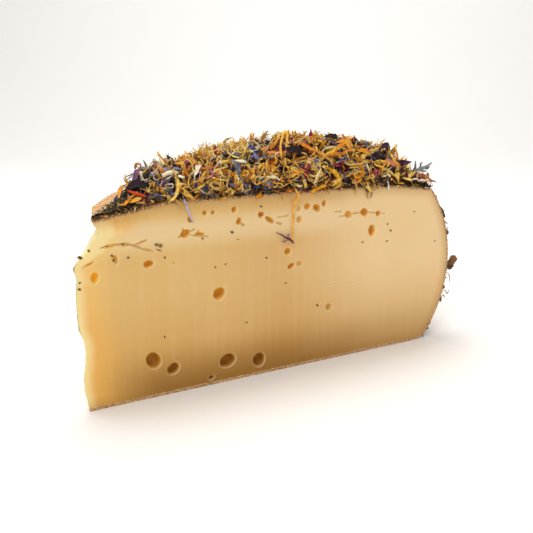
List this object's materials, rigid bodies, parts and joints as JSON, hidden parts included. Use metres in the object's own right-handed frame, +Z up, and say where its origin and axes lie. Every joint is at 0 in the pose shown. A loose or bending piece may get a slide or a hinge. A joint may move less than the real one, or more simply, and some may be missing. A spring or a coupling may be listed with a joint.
{
  "type": "cheese wedge",
  "caption": "Wedge of mountain cheese with small eyes, a ragged tip and a herb-coated rind, under a heap of dried petals and herbs.",
  "frame": {"origin": "on the flat base, under the middle of the wedge, on the line that halves it", "axes": "+X along the shown cut face from the broken tip to the rind, +Z up, the shown cut face towards -Y"},
  "size_m": [0.1718, 0.1333, 0.0929],
  "materials": {
    "cheese_paste": "satin, pale yellow paste that lets a little light in, with a tan rind dusted with dark herbs",
    "dried_petals": "matt, dry, mostly orange and straw with dark purple, blue, rose and green pieces"
  },
  "bodies": {
    "root": {"cheese": "cheese_paste", "flower_topping": "dried_petals"}
  },
  "joints": []
}
